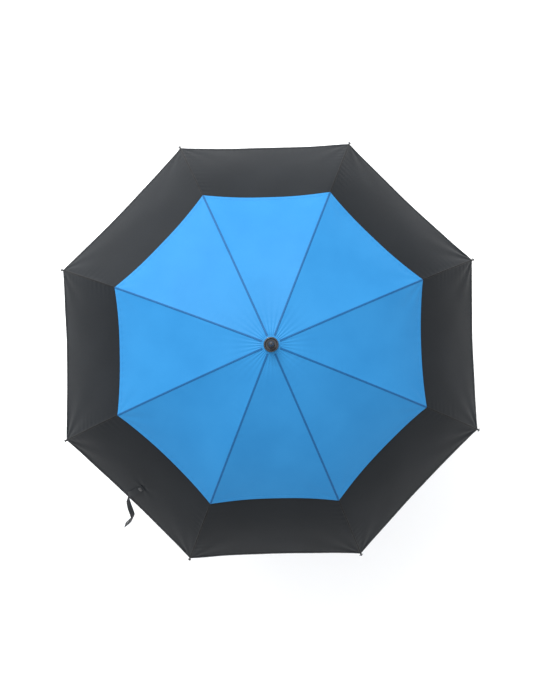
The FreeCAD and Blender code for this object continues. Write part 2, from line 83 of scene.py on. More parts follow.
# up in the view is +Y, but for the roll, whatever small way the camera leans
camera_right = Vector((0, 1, 0)).cross(camera_back).normalized()
camera_turn = Matrix((camera_right, camera_back.cross(camera_right), camera_back)).transposed()
camera.rotation_mode = "QUATERNION"
roll = Matrix.Rotation(CAMERA_ROLL, 3, "Z")
camera.rotation_quaternion = camera_turn.to_quaternion() @ roll.to_quaternion()
bpy.context.scene.camera = camera
bpy.context.scene.view_settings.view_transform = "Standard"


# Studio: a white floor under a bright even sky, a large soft light from low on
# the far side and another from higher up, as over a product table.
FLOOR_HALF = 14.0
SKY_STRENGTH = 1.12


def linear(hex_colour):
    """An sRGB hex colour as linear RGBA."""
    channels = [int(hex_colour[i:i + 2], 16) / 255 for i in (0, 2, 4)]
    return [c / 12.92 if c <= 0.04045 else ((c + 0.055) / 1.055) ** 2.4 for c in channels] + [1.0]


def add_node(tree, kind, inputs=None, into=None, **settings):
    """Add a node with its settings. An input is a value, or the socket or node that feeds it; into
    is the socket that this node feeds. A node feeds from its first output in use."""
    node = tree.nodes.new(kind)
    for name, value in settings.items():
        setattr(node, name, value)
    feeds = [(node.inputs[name], value) for name, value in (inputs or {}).items()]
    for socket, value in feeds + ([(into, node)] if into else []):
        if isinstance(value, bpy.types.Node):
            value = next(output for output in value.outputs if output.enabled)
        if isinstance(value, bpy.types.NodeSocket):
            tree.links.new(value, socket)
        else:
            socket.default_value = value
    return node


def new_material(name, hex_colour, roughness, **sockets):
    """A Principled material and its tree, with constants set on the shader's own sockets."""
    material = bpy.data.materials.new(name)
    material.use_nodes = True
    shader = material.node_tree.nodes["Principled BSDF"]
    shader.inputs["Base Color"].default_value = linear(hex_colour)
    shader.inputs["Roughness"].default_value = roughness
    for socket, value in sockets.items():
        shader.inputs[socket.replace("_", " ")].default_value = value
    return material, material.node_tree, shader


def new_mesh(name, points, faces, material, places=None):
    """A smooth mesh object at the origin; places are its points' UV coordinates, in metres."""
    mesh = bpy.data.meshes.new(name)
    mesh.from_pydata([tuple(point) for point in points], [], faces)
    mesh.materials.append(material)
    mesh.polygons.foreach_set("use_smooth", [True] * len(mesh.polygons))
    if places:
        layer = mesh.uv_layers.new(name="UVMap")
        for loop in mesh.loops:
            layer.data[loop.index].uv = places[loop.vertex_index]
    mesh.update()
    piece = bpy.data.objects.new(name, mesh)
    bpy.context.scene.collection.objects.link(piece)
    return piece


# matt white paint on a smooth board: no grain is seen at this distance
floor_paint, tree, shader = new_material("matt_floor_paint", "FFFFFF", 0.9)
mottle = add_node(tree, "ShaderNodeTexNoise", {"Scale": 3.0, "Detail": 2.0})
add_node(tree, "ShaderNodeMapRange",
         {"Value": mottle, "To Min": 0.85, "To Max": 0.95}, into=shader.inputs["Roughness"])
corners = [(x * FLOOR_HALF, y * FLOOR_HALF, -0.001) for x, y in ((-1, -1), (1, -1), (1, 1), (-1, 1))]
floor = new_mesh("floor", corners, [(0, 1, 2, 3)], floor_paint)

world = bpy.data.worlds.new("studio_sky")
world.use_nodes = True
world.node_tree.nodes["Background"].inputs["Color"].default_value = (1.0, 1.0, 1.0, 1.0)
world.node_tree.nodes["Background"].inputs["Strength"].default_value = SKY_STRENGTH
bpy.context.scene.world = world


def soft_light(name, place, size, power):
    """A square area light that faces the middle of the canopy."""
    data = bpy.data.lights.new(name, "AREA")
    data.size = size
    data.energy = power
    light = bpy.data.objects.new(name, data)
    bpy.context.scene.collection.objects.link(light)
    light.location = place
    aim = Vector((0, 0, rim_height)) - Vector(place)
    light.rotation_mode = "QUATERNION"
    light.rotation_quaternion = aim.to_track_quat("-Z", "Y")


soft_light("key_light", (-2.6, 5.2, 3.6), 2.5, 355.0)
soft_light("gloss_light", (-0.9, 3.0, 5.6), 2.4, 290.0)


# Rib rods: pultruded fibreglass, one piece from the crown to the tip. Each
# bends in two arcs that meet at the joiner.
RIB_COUNT = 8
JOINER_LENGTH = 0.330
ROD_LENGTH = 0.750
ROD_RADIUS = 0.0020
ROD_START, ROD_STEP = 0.002, 0.006
CROWN_SLOPE, JOINER_SLOPE, TIP_SLOPE = (math.radians(angle) for angle in (8.0, 24.0, 52.0))
INNER_BEND = JOINER_LENGTH / (JOINER_SLOPE - CROWN_SLOPE)
OUTER_BEND = (ROD_LENGTH - JOINER_LENGTH) / (TIP_SLOPE - JOINER_SLOPE)
HALF_PITCH = math.pi / RIB_COUNT

hinge_radius, hinge_height = joint_at["rib_fold_1"].xy.length, joint_at["rib_fold_1"].z
joiner_radius, joiner_height = joint_at["rib_flex_1"].xy.length, joint_at["rib_flex_1"].z


def rib_point(length, lift=0.0):
    """(distance from the shaft, height, slope) at a length along a rib, lifted square to it."""
    if length <= JOINER_LENGTH:
        slope = CROWN_SLOPE + length / INNER_BEND
        radius = hinge_radius + INNER_BEND * (math.sin(slope) - math.sin(CROWN_SLOPE))
        height = hinge_height - INNER_BEND * (math.cos(CROWN_SLOPE) - math.cos(slope))
    else:
        slope = JOINER_SLOPE + (length - JOINER_LENGTH) / OUTER_BEND
        radius = joiner_radius + OUTER_BEND * (math.sin(slope) - math.sin(JOINER_SLOPE))
        height = joiner_height - OUTER_BEND * (math.cos(JOINER_SLOPE) - math.cos(slope))
    return radius + lift * math.sin(slope), height + lift * math.cos(slope), slope


def rib_ways(number):
    """The directions away from the shaft, round it and up, at a rib."""
    hinge = joint_at[f"rib_fold_{number}"]
    out = Vector((hinge.x, hinge.y, 0)).normalized()
    return out, Vector((-out.y, out.x, 0)), Vector((0, 0, 1))


def on_rib(number, length, lift=0.0):
    """A point above or below a rib's centreline."""
    out, _, up = rib_ways(number)
    radius, height, _ = rib_point(length, lift)
    return out * radius + up * height


def rib_direction(number, length):
    """The way the rib runs, towards its tip."""
    out, _, up = rib_ways(number)
    slope = rib_point(length)[2]
    return out * math.cos(slope) - up * math.sin(slope)


def half_width_at(length, lift=0.0):
    """Half the straight distance between two ribs, at a length along them."""
    return rib_point(length, lift)[0] * math.sin(HALF_PITCH)


def lengths(start, end, step):
    """Even steps between two lengths, both included."""
    count = max(1, round((end - start) / step))
    return [start + (end - start) * i / count for i in range(count + 1)]


def ring_faces(count, rows, looped=False):
    """Faces between rings of points; looped joins the last ring to the first, or the ends are closed."""
    faces = []
    for i in range(rows if looped else rows - 1):
        k = (i + 1) % rows
        for j in range(count):
            m = (j + 1) % count
            faces.append((i * count + j, i * count + m, k * count + m, k * count + j))
    if not looped:
        faces += [tuple(reversed(range(count))), tuple(range((rows - 1) * count, rows * count))]
    return faces


def round_bar(path, radii, sides=14):
    """Points, faces and UV places of a closed round bar along a path."""
    points, places = [], []
    side_way, distance = None, 0.0
    for i, point in enumerate(path):
        ahead = (path[min(i + 1, len(path) - 1)] - path[max(i - 1, 0)]).normalized()
        if side_way is None:
            side_way = ahead.orthogonal()
        side_way = (side_way - ahead * side_way.dot(ahead)).normalized()
        up_way = ahead.cross(side_way)
        distance += (point - path[i - 1]).length if i else 0.0
        for j in range(sides):
            angle = 2 * math.pi * j / sides
            points.append(point + (side_way * math.cos(angle) + up_way * math.sin(angle)) * radii[i])
            places.append((angle * radii[i], distance))
    return points, ring_faces(sides, len(path)), places


# glass threads in resin run along the rod under a thin black lacquer: a soft gloss with faint
# long streaks; real threads are 0.02 mm, drawn 0.4 mm apart so that they show
STREAK_WIDTH = 0.0004
fibreglass, tree, shader = new_material("pultruded_fibreglass", "17181A", 0.34, Coat_Weight=0.25,
                                        Coat_Roughness=0.2)
place = add_node(tree, "ShaderNodeTexCoord")
stretch = add_node(tree, "ShaderNodeMapping",
                   {"Vector": place.outputs["UV"], "Scale": (1 / STREAK_WIDTH, 20.0, 1.0)})
streaks = add_node(tree, "ShaderNodeTexNoise", {"Vector": stretch, "Scale": 1.0, "Detail": 3.0})
add_node(tree, "ShaderNodeMix", {"Factor": streaks, "A": linear("111214"), "B": linear("26282B")},
         data_type="RGBA", into=shader.inputs["Base Color"])
add_node(tree, "ShaderNodeBump", {"Height": streaks, "Strength": 0.25, "Distance": 0.00005},
         into=shader.inputs["Normal"])

for number in range(1, RIB_COUNT + 1):
    stations = lengths(ROD_START, ROD_LENGTH, ROD_STEP)
    path = [on_rib(number, length) for length in stations]
    points, faces, places = round_bar(path, [ROD_RADIUS] * len(path))
    rod = new_mesh(f"rib_rod_{number}", points, faces, fibreglass, places)
    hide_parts(f"rib_inner_{number}", f"rib_outer_{number}")
    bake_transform(rod)


# Rib fittings: a nickel-plated steel eye pressed on the rod's crown end, and
# at the joiner a crimped bracket whose tab carries the stretcher's rivet.
EYE_RADIUS = 0.0023
EYE_WIDTH = 0.0034
EYE_HOLE = 0.0009
SLEEVE_RADIUS = 0.0032
SLEEVE_START, SLEEVE_END = 0.311, 0.329
CRIMP_START, CRIMP_END = 0.331, 0.345
SLEEVE_GROOVES, CRIMP_GROOVES = (0.315, 0.3195), (0.335, 0.341)
CRIMP_DEPTH, CRIMP_WIDTH = 0.0004, 0.0009
SLEEVE_STEP = 0.0006
TAB_WIDTH = 0.0020
TAB_RADIUS = 0.0030
EDGE = 0.0003


def turned(profile, centre, axis, sides=40, hollow=False):
    """Points and faces of an outline of (radius, distance along) spun about an axis."""
    axis = Vector(axis).normalized()
    across = axis.orthogonal().normalized()
    over = axis.cross(across)
    points = []
    for radius, along in profile:
        for j in range(sides):
            angle = 2 * math.pi * j / sides
            way = across * math.cos(angle) + over * math.sin(angle)
            points.append(centre + axis * along + way * radius)
    return points, ring_faces(sides, len(profile), looped=hollow)


def joined(*shapes):
    """Several shapes' points and faces as one."""
    points, faces = [], []
    for shape in shapes:
        start = len(points)
        points += shape[0]
        faces += [tuple(start + index for index in face) for face in shape[1]]
    return points, faces


def washer(centre, axis, outer, inner, width):
    """A ring with broken edges, centred on a point."""
    half = width / 2
    outline = [(inner, -half), (outer - EDGE, -half), (outer, EDGE - half), (outer, half - EDGE),
               (outer - EDGE, half), (inner, half)]
    return turned(outline, centre, axis, 28, hollow=True)


def crimped_sleeve(number, start, end, grooves):
    """A short tube round the rod, pinched in at each groove."""
    stations = lengths(start, end, SLEEVE_STEP)
    path = [on_rib(number, length) for length in stations]
    radii = []
    for length in stations:
        pinch = max(math.exp(-((length - groove) / CRIMP_WIDTH) ** 2) for groove in grooves)
        end_round = 0.0004 if length in (stations[0], stations[-1]) else 0.0
        radii.append(SLEEVE_RADIUS - CRIMP_DEPTH * pinch - end_round)
    return round_bar(path, radii, 20)[:2]


def plate(outline, thickness, number):
    """A flat plate in a rib's plane, from (length along the rib, lift) corners, edges broken."""
    _, left, _ = rib_ways(number)
    middle = sum((on_rib(number, *corner) for corner in outline), Vector()) / len(outline)
    points = []
    for share, shrink in ((-0.5, 0.92), (-0.38, 1.0), (0.38, 1.0), (0.5, 0.92)):
        points += [middle + (on_rib(number, *corner) - middle) * shrink + left * thickness * share
                   for corner in outline]
    return points, [tuple(reversed(face)) for face in ring_faces(len(outline), 4)]


# bright nickel over drawn steel: mirror-like but dulled by fine handling scratches
plated_steel, tree, shader = new_material("nickel_plated_steel", "B9B8B4", 0.25, Metallic=1.0)
place = add_node(tree, "ShaderNodeTexCoord")
scuffs = add_node(tree, "ShaderNodeTexNoise",
                  {"Vector": place.outputs["Object"], "Scale": 700.0, "Detail": 5.0})
add_node(tree, "ShaderNodeMapRange",
         {"Value": scuffs, "To Min": 0.16, "To Max": 0.42}, into=shader.inputs["Roughness"])
add_node(tree, "ShaderNodeBump", {"Height": scuffs, "Strength": 0.15, "Distance": 0.00005},
         into=shader.inputs["Normal"])

pivot_lift = -(joint_at["rib_flex_1"] - joint_at["strut_fold_1"]).length
tab_arc = []
for step in range(13):
    angle = math.pi * (1.0 + step / 12)
    tab_arc.append((JOINER_LENGTH + TAB_RADIUS * math.cos(angle), pivot_lift + TAB_RADIUS * math.sin(angle)))
TAB_TOP = 0.0005 - SLEEVE_RADIUS
tab_outline = tab_arc + [(SLEEVE_END - 0.0004, TAB_TOP), (SLEEVE_START + 0.007, TAB_TOP)]

for number in range(1, RIB_COUNT + 1):
    _, left, _ = rib_ways(number)
    hinge = joint_at[f"rib_fold_{number}"]
    neck = [on_rib(number, length) for length in (0.0018, 0.006, 0.014, 0.0145)]
    collar = round_bar(neck, [0.0021, 0.0022, 0.0022, 0.0020], 20)[:2]
    ring = washer(hinge, left, EYE_RADIUS, EYE_HOLE, EYE_WIDTH)
    eye = new_mesh(f"rib_eye_{number}", *joined(ring, collar), plated_steel)
    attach(eye, f"rib_{number}")

    sleeve = crimped_sleeve(number, SLEEVE_START, SLEEVE_END, SLEEVE_GROOVES)
    tab = plate(tab_outline, TAB_WIDTH, number)
    bracket = new_mesh(f"joiner_bracket_{number}", *joined(sleeve, tab), plated_steel)
    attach(bracket, f"rib_{number}")

    ferrule = crimped_sleeve(number, CRIMP_START, CRIMP_END, CRIMP_GROOVES)
    crimp = new_mesh(f"crimp_sleeve_{number}", *ferrule, plated_steel)
    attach(crimp, f"rib_end_{number}")


# Rib tips: black moulded nylon cups over the rod ends, with a bead and a
# small cross bar that the canopy's corner thread is wound round.
TIP_CUP_START = 0.739
TIP_CUP_RADIUS = 0.0029
TIP_BEAD_RADIUS = 0.0034
TIP_BAR_RADIUS = 0.0011
TIP_BAR_HALF = 0.0055

# injection-moulded nylon: dark, with a satin skin and a very fine mould grain of about 0.3 mm
NYLON_GRAIN = 0.0003
nylon, tree, shader = new_material("moulded_black_nylon", "1B1C1E", 0.42)
place = add_node(tree, "ShaderNodeTexCoord")
grain = add_node(tree, "ShaderNodeTexNoise",
                 {"Vector": place.outputs["Object"], "Scale": 1 / NYLON_GRAIN, "Detail": 2.0})
wear = add_node(tree, "ShaderNodeTexNoise",
                {"Vector": place.outputs["Object"], "Scale": 60.0, "Detail": 4.0})
add_node(tree, "ShaderNodeMapRange",
         {"Value": wear, "To Min": 0.34, "To Max": 0.52}, into=shader.inputs["Roughness"])
add_node(tree, "ShaderNodeMix", {"Factor": wear, "A": linear("161719"), "B": linear("242528")},
         data_type="RGBA", into=shader.inputs["Base Color"])
add_node(tree, "ShaderNodeBump", {"Height": grain, "Strength": 0.3, "Distance": 0.00004},
         into=shader.inputs["Normal"])

for number in range(1, RIB_COUNT + 1):
    _, left, _ = rib_ways(number)
    tip = on_rib(number, ROD_LENGTH)
    ahead = rib_direction(number, ROD_LENGTH)
    cup_length = ROD_LENGTH - TIP_CUP_START
    profile = [(0.0021, -cup_length), (TIP_CUP_RADIUS - EDGE, -cup_length),
               (TIP_CUP_RADIUS, EDGE - cup_length), (TIP_CUP_RADIUS * 0.92, -0.5 * cup_length),
               (TIP_CUP_RADIUS * 0.9, -TIP_BEAD_RADIUS)]
    for step in range(10):
        angle = -0.85 + step * (0.85 + math.pi / 2 - 0.12) / 9
        profile.append((TIP_BEAD_RADIUS * math.cos(angle), TIP_BEAD_RADIUS * math.sin(angle)))
    bar = [(TIP_BAR_RADIUS * wide, TIP_BAR_HALF * along)
           for wide, along in ((0.6, -1.0), (1.0, -0.9), (0.8, 0.0), (1.0, 0.9), (0.6, 1.0))]
    shape = joined(turned(profile, tip, ahead, 24), turned(bar, tip, left, 14))
    cup = new_mesh(f"rib_tip_{number}", *shape, nylon)
    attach(cup, f"rib_end_{number}")


# Stretchers: fibreglass rods with a flat eye on the runner's wire and a steel
# fork, pressed on the other end and riveted to the rib's bracket.
STRUT_RADIUS, STRUT_STEP = 0.0019, 0.010
ROD_IN_EYE = 0.0006
FORK_START, FORK_END = 0.0070, 0.0160
CHEEK_INNER, CHEEK_OUTER = 0.0013, 0.0024
CHEEK_RADIUS = 0.0030
RIVET_RADIUS = 0.0012
RIVET_HEAD_RADIUS = 0.0022
RIVET_HEAD_HEIGHT = 0.0006


def cheek(pivot, along, over, across, low, high):
    """One side plate of a fork: round at the rivet, running back to the socket."""
    outline = []
    for step in range(13):
        angle = math.pi * (0.5 + step / 12)
        outline.append((CHEEK_RADIUS * math.cos(angle), CHEEK_RADIUS * math.sin(angle)))
    outline += [(FORK_START + 0.001, -CHEEK_RADIUS * 0.85), (FORK_START + 0.001, CHEEK_RADIUS * 0.85)]
    points = []
    for side, shrink in ((low, 0.95), (low + 0.0001, 1.0), (high - 0.0001, 1.0), (high, 0.95)):
        points += [pivot + along * x * shrink + over * y * shrink + across * side for x, y in outline]
    return points, ring_faces(len(outline), 4)


runner_hinge_height = (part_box("runner_wire")[0].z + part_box("runner_wire")[1].z) / 2
for number in range(1, RIB_COUNT + 1):
    out, left, up = rib_ways(number)
    pivot = joint_at[f"strut_fold_{number}"]
    hinge = out * hinge_radius + up * runner_hinge_height
    along = (hinge - pivot).normalized()
    over = left.cross(along)
    reach = (hinge - pivot).length

    stations = lengths(FORK_START, reach - EYE_RADIUS + ROD_IN_EYE, STRUT_STEP)
    path = [pivot + along * length for length in stations]
    points, faces, places = round_bar(path, [STRUT_RADIUS] * len(path))
    rod = new_mesh(f"stretcher_rod_{number}", points, faces, fibreglass, places)
    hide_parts(f"stretcher_{number}")
    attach(rod, f"strut_{number}")

    socket = [(STRUT_RADIUS, FORK_START), (CHEEK_RADIUS - EDGE, FORK_START),
              (CHEEK_RADIUS, FORK_START + EDGE), (CHEEK_RADIUS, 0.0110),
              (CHEEK_RADIUS - CRIMP_DEPTH, 0.0118), (CHEEK_RADIUS, 0.0126),
              (CHEEK_RADIUS, FORK_END - EDGE), (CHEEK_RADIUS - EDGE, FORK_END), (STRUT_RADIUS, FORK_END)]
    head = [(RIVET_RADIUS, 0.0), (RIVET_HEAD_RADIUS, 0.0), (RIVET_HEAD_RADIUS, RIVET_HEAD_HEIGHT * 0.5),
            (RIVET_HEAD_RADIUS * 0.7, RIVET_HEAD_HEIGHT), (0.00005, RIVET_HEAD_HEIGHT)]
    fork = joined(
        turned(socket, pivot, along, 28, hollow=True),
        cheek(pivot, along, over, left, CHEEK_INNER, CHEEK_OUTER),
        cheek(pivot, along, over, left, -CHEEK_OUTER, -CHEEK_INNER),
        turned([(RIVET_RADIUS, -CHEEK_OUTER), (RIVET_RADIUS, CHEEK_OUTER)], pivot, left, 20),
        turned(head, pivot + left * CHEEK_OUTER, left, 20),
        turned(head, pivot - left * CHEEK_OUTER, -left, 20),
        washer(hinge, left, EYE_RADIUS, EYE_HOLE, EYE_WIDTH),
    )
    fittings = new_mesh(f"stretcher_fork_{number}", *fork, plated_steel)
    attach(fittings, f"strut_{number}")


# Shaft and the pieces inside: an anodised aluminium tube, nylon hub and
# runner turned and notched for the ribs, steel hinge wires, catches and stop.
aluminium, tree, shader = new_material("black_anodised_aluminium", "1C1D20", 0.32, Metallic=0.55)
place = add_node(tree, "ShaderNodeTexCoord")
stretch = add_node(tree, "ShaderNodeMapping",
                   {"Vector": place.outputs["Object"], "Scale": (1500.0, 1500.0, 12.0)})
draw_lines = add_node(tree, "ShaderNodeTexNoise", {"Vector": stretch, "Scale": 1.0, "Detail": 3.0})
add_node(tree, "ShaderNodeMapRange", {"Value": draw_lines, "To Min": 0.26, "To Max": 0.42},
         into=shader.inputs["Roughness"])
add_node(tree, "ShaderNodeBump", {"Height": draw_lines, "Strength": 0.1, "Distance": 0.00003},
         into=shader.inputs["Normal"])


def finish_nodes(material, *names):
    """Give CAD pieces their material."""
    for name in names:
        node = frame["nodes"][name]
        node.data.materials.clear()
        node.data.materials.append(material)


finish_nodes(aluminium, "shaft_tube")
finish_nodes(nylon, "crown_hub", "runner_sleeve", "handle_core")
finish_nodes(plated_steel, "crown_wire", "runner_wire", "top_stop", "top_catch", "bottom_catch")


# Lower canopy: eight black gores of coated pongee, cut with a slightly hollow
# rim, joined along the ribs and hemmed. Each half gore follows its own rib.
CLOTH_THICKNESS = 0.0003
LOWER = {
    "start": 0.420, "edge": 0.738, "dip": 0.0035, "lift": 0.0028, "sag": 0.0050,
    "billow": 0.0016, "pucker": 0.00040, "corner": 0.0011,
}
ROW_STEP = 0.0042
COLUMN_STEP = 0.0042
HEM_WIDTH, HEM_RISE, HEM_REACH = 0.010, 0.00045, 0.04
SEAM_RIPPLE, HEM_RIPPLE = 0.019, 0.021
CROWN_FOLD, CROWN_RISE = 0.0010, 0.0026
HEM_ROWS = (0.0150, 0.0125, 0.0112, 0.0104, 0.0098, 0.0090, 0.0070, 0.0045, 0.0020, 0.0008, 0.0)
CORNER_STRENGTH = (1.5, 0.7, 0.6, 0.8, 1.2, 0.7, 0.9, 1.3)
TUCK_UNDER, TUCK_ROWS = 0.0006, (0.0, 0.35, 0.7, 1.0)


def smooth(share):
    """0 to 1 with flat ends."""
    share = min(max(share, 0.0), 1.0)
    return share * share * (3 - 2 * share)


def gore_ways(gore):
    """The directions out along the middle of a gore, round the shaft, and up."""
    out, left, up = rib_ways(gore)
    turn = Matrix.Rotation(HALF_PITCH, 3, "Z")
    return turn @ out, turn @ left, up


# the gore that holds the tie strap, and its tack's place: out from the shaft, and round it
STRAP_GORE = 5
TACK_OUT, TACK_LEFT = 0.545, 0.010


def strap_pucker(x, y):
    """The small star of folds where the tie strap is tacked to the cloth."""
    distance = math.hypot(x, y)
    star = math.cos(5 * math.atan2(y, x) + 0.6)
    folds = 0.0011 * star * smooth(distance / 0.012) * math.exp(-distance / 0.020)
    return folds - 0.0012 * math.exp(-(distance / 0.010) ** 2)


def cloth_offset(layer, gore, length, across, half_width, rim):
    """How far the cloth stands off its straight line from rib to rib: sag, folds and hem."""
    share = abs(across) / half_width
    seam = half_width - abs(across)
    free = smooth(seam / min(0.012, 0.5 * half_width))
    offset = -layer["sag"] * (1 - share ** 2) * smooth(half_width / 0.12)
    where = Vector((length / 0.13, across / 0.10, 7.3 * gore))
    offset += layer["billow"] * noise.noise(where) * free * smooth(half_width / 0.08)
    drift = noise.noise(Vector((length / 0.06, gore, math.copysign(2.0, across))))
    ripple = math.sin(2 * math.pi * length / SEAM_RIPPLE + 3.0 * drift)
    patchy = 0.5 + noise.noise(Vector((length / 0.08, 3.1 * gore, math.copysign(5.0, across))))
    offset += layer["pucker"] * ripple * max(patchy, 0.0) * math.exp(-seam / 0.024) * smooth(seam / 0.006)
    for side in (-1, 1):
        x, y = layer["edge"] - length, half_width - side * across
        distance = math.hypot(x, y)
        bend = math.atan2(y, x) * 9.0 + 1.3 * gore + side
        strength = CORNER_STRENGTH[(gore + (side > 0) - 1) % RIB_COUNT]
        fade = smooth(distance / 0.030) * math.exp(-distance / 0.075)
        offset += layer["corner"] * strength * math.sin(bend) * free * fade
    if layer is not LOWER:
        radius = half_width / math.sin(HALF_PITCH)
        folds = math.cos(5 * math.pi * share) * smooth(seam / (0.4 * half_width))
        offset += CROWN_FOLD * folds * smooth((radius - 0.013) / 0.006) * math.exp(-radius / 0.045)
        offset += CROWN_RISE * (1 - smooth((radius - 0.014) / 0.050))
    hem = rim - length
    if hem < HEM_REACH:
        groove = math.exp(-((hem - HEM_WIDTH) / 0.0008) ** 2)
        offset += HEM_RISE * smooth((HEM_WIDTH - hem) / 0.0010) - 0.00025 * groove
        drift = 2 * noise.noise(Vector((across / 0.05, gore, 1.0)))
        ripple = math.sin(2 * math.pi * across / HEM_RIPPLE + drift)
        offset += 0.00030 * ripple * math.exp(-abs(hem - HEM_WIDTH) / 0.008) * free
    return offset


def cloth_point(layer, gore, length, share, above=0.0):
    """A point of a gore: share runs from -1 at its first rib to 1 at its next one."""
    out, left, up = gore_ways(gore)
    radius, height, slope = rib_point(length, layer["lift"])
    half_width = radius * math.sin(HALF_PITCH)
    across = share * half_width
    rim = rim_length(layer, share)
    tilt = math.atan(math.tan(slope) / math.cos(HALF_PITCH))
    normal = out * math.sin(tilt) + up * math.cos(tilt)
    offset = cloth_offset(layer, gore, length, across, half_width, rim) + above
    if layer is LOWER and gore == STRAP_GORE:
        x = radius * math.cos(HALF_PITCH) - TACK_OUT
        offset += strap_pucker(x / math.cos(tilt), across - TACK_LEFT)
    return out * (radius * math.cos(HALF_PITCH)) + left * across + up * height + normal * offset


def rim_length(layer, share):
    """The length at which the cloth ends: the rim is hollow between the ribs."""
    return layer["edge"] - layer["dip"] * (1 - abs(share) ** 2.4)


def sheet_faces(count, rows):
    """Faces between rows of points, each row count long."""
    return [(i * count + j, (i + 1) * count + j, (i + 1) * count + j + 1, i * count + j + 1)
            for i in range(rows - 1) for j in range(count - 1)]


def half_gore(layer, gore, side, first, last=None, tuck=0.0):
    """Points, faces and UV places of half a gore; last=None runs to the rim, with hem rows. A tuck
    runs on under the next length of cloth, widest in the middle of the gore."""
    width = half_width_at(last or layer["edge"])
    columns = lengths(0.0, 1.0, COLUMN_STEP / width)
    shares = [value - 1.0 if side < 0 else value for value in columns]
    body_end = last or layer["edge"] - layer["dip"] - HEM_ROWS[0]
    points, places = [], []

    def add_row(row_lengths, above=0.0):
        for share, length in zip(shares, row_lengths):
            points.append(cloth_point(layer, gore, length, share, above))
            places.append((share * half_width_at(length), length))

    ends = [last or rim_length(layer, share) - HEM_ROWS[0] for share in shares]
    for row in lengths(0.0, 1.0, ROW_STEP / (body_end - first)):
        add_row([first + (end - first) * row for end in ends])
    for hem in () if last else HEM_ROWS[1:]:
        add_row([rim_length(layer, share) - hem for share in shares])
    for depth in TUCK_ROWS if tuck else ():
        add_row([last + tuck * depth * (1.1 - abs(share)) for share in shares], -TUCK_UNDER)
    return points, sheet_faces(len(shares), len(points) // len(shares)), places


# every half gore: its gore, its letter, its side of the gore's middle, and the rib it follows
HALVES = []
for gore in range(1, RIB_COUNT + 1):
    HALVES += [(gore, "a", -1, gore), (gore, "b", 1, gore % RIB_COUNT + 1)]


def thicken(piece, thickness):
    """Give a sheet its thickness, half to each side."""
    solid = piece.modifiers.new("thickness", "SOLIDIFY")
    solid.thickness = thickness
    solid.offset = 0.0
    edges = piece.modifiers.new("cut_edges", "EDGE_SPLIT")
    edges.split_angle = math.radians(50)


def fold_with_rib(piece, number, start, end):
    """Give a piece its own copy of its mesh; the way square to the rib between two lengths is worked out but
    not used.
    """
    left = rib_ways(number)[1]
    run = (on_rib(number, end) - on_rib(number, start)).normalized()
    away = left.cross(run)
    away = -away if away.z < 0 else away
    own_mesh(piece)


WEAVE_PITCH = 0.0012
SLUBS_PER_METRE = (900.0, 60.0, 1.0)


def pongee(name, warp, weft, deep):
    """Coated plain-weave pongee. Real threads are 0.25 mm apart; the weave is drawn 1.2 mm apart so
    that it shows. It gives a soft, even sheen, with slow changes of tone along the threads."""
    material, tree, shader = new_material(name, warp, 0.52, Sheen_Weight=0.02, Sheen_Roughness=0.5,
                                          Specular_IOR_Level=0.13)
    place = add_node(tree, "ShaderNodeTexCoord")
    scaled = add_node(tree, "ShaderNodeVectorMath",
                      {0: place.outputs["UV"], "Scale": 2 * math.pi / WEAVE_PITCH},
                      operation="SCALE")
    threads = add_node(tree, "ShaderNodeSeparateXYZ", {"Vector": scaled})
    warp_wave = add_node(tree, "ShaderNodeMath", {0: threads.outputs["X"]}, operation="SINE")
    weft_wave = add_node(tree, "ShaderNodeMath", {0: threads.outputs["Y"]}, operation="SINE")
    weave = add_node(tree, "ShaderNodeMath", {0: warp_wave, 1: weft_wave}, operation="MULTIPLY")
    slub_map = add_node(tree, "ShaderNodeMapping",
                        {"Vector": place.outputs["UV"], "Scale": SLUBS_PER_METRE})
    slubs = add_node(tree, "ShaderNodeTexNoise", {"Vector": slub_map, "Scale": 1.0, "Detail": 2.0})
    slow = add_node(tree, "ShaderNodeTexNoise",
                    {"Vector": place.outputs["Object"], "Scale": 7.0, "Detail": 3.0})
    thread_mix = add_node(tree, "ShaderNodeMapRange", {"Value": weave, "From Min": -1.0, "From Max": 1.0})
    tone = add_node(tree, "ShaderNodeMix", {"Factor": thread_mix, "A": linear(warp), "B": linear(weft)},
                    data_type="RGBA")
    patch = add_node(tree, "ShaderNodeMapRange",
                     {"Value": slow, "From Min": 0.35, "From Max": 0.70, "To Max": 0.6})
    add_node(tree, "ShaderNodeMix", {"Factor": patch, "A": tone, "B": linear(deep)},
             data_type="RGBA", into=shader.inputs["Base Color"])
    add_node(tree, "ShaderNodeMapRange", {"Value": slubs, "To Min": 0.46, "To Max": 0.58},
             into=shader.inputs["Roughness"])
    relief = add_node(tree, "ShaderNodeMath", {0: slubs, 1: 0.6, 2: weave}, operation="MULTIPLY_ADD")
    add_node(tree, "ShaderNodeBump", {"Height": relief, "Strength": 0.35, "Distance": 0.00006},
             into=shader.inputs["Normal"])
    return material


black_pongee = pongee("black_pongee", "0F1317", "14181D", "0C1014")

for gore, half, side, number in HALVES:
    points, faces, places = half_gore(LOWER, gore, side, LOWER["start"])
    cloth = new_mesh(f"lower_cloth_{gore}_{half}", points, faces, black_pongee, places)
    thicken(cloth, CLOTH_THICKNESS)
    if side < 0:
        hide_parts(f"lower_panel_{gore}")
    fold_with_rib(cloth, number, JOINER_LENGTH, ROD_LENGTH)
    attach(cloth, f"rib_end_{number}")


# Upper canopy: eight blue gores of the same pongee, pinned under the cap and
# ending over the black ones with a free, hollow rim that leaves a vent.
UPPER = {
    "start": 0.0145, "edge": 0.492, "dip": 0.0125, "lift": 0.0040, "sag": 0.0030,
    "billow": 0.0009, "pucker": 0.00032, "corner": 0.0005,
}
JOINER_TUCK = 0.013
CROWN_CLOTH_START = -0.0034

blue_pongee = pongee("blue_pongee", "206DA2", "2873A8", "1C679C")

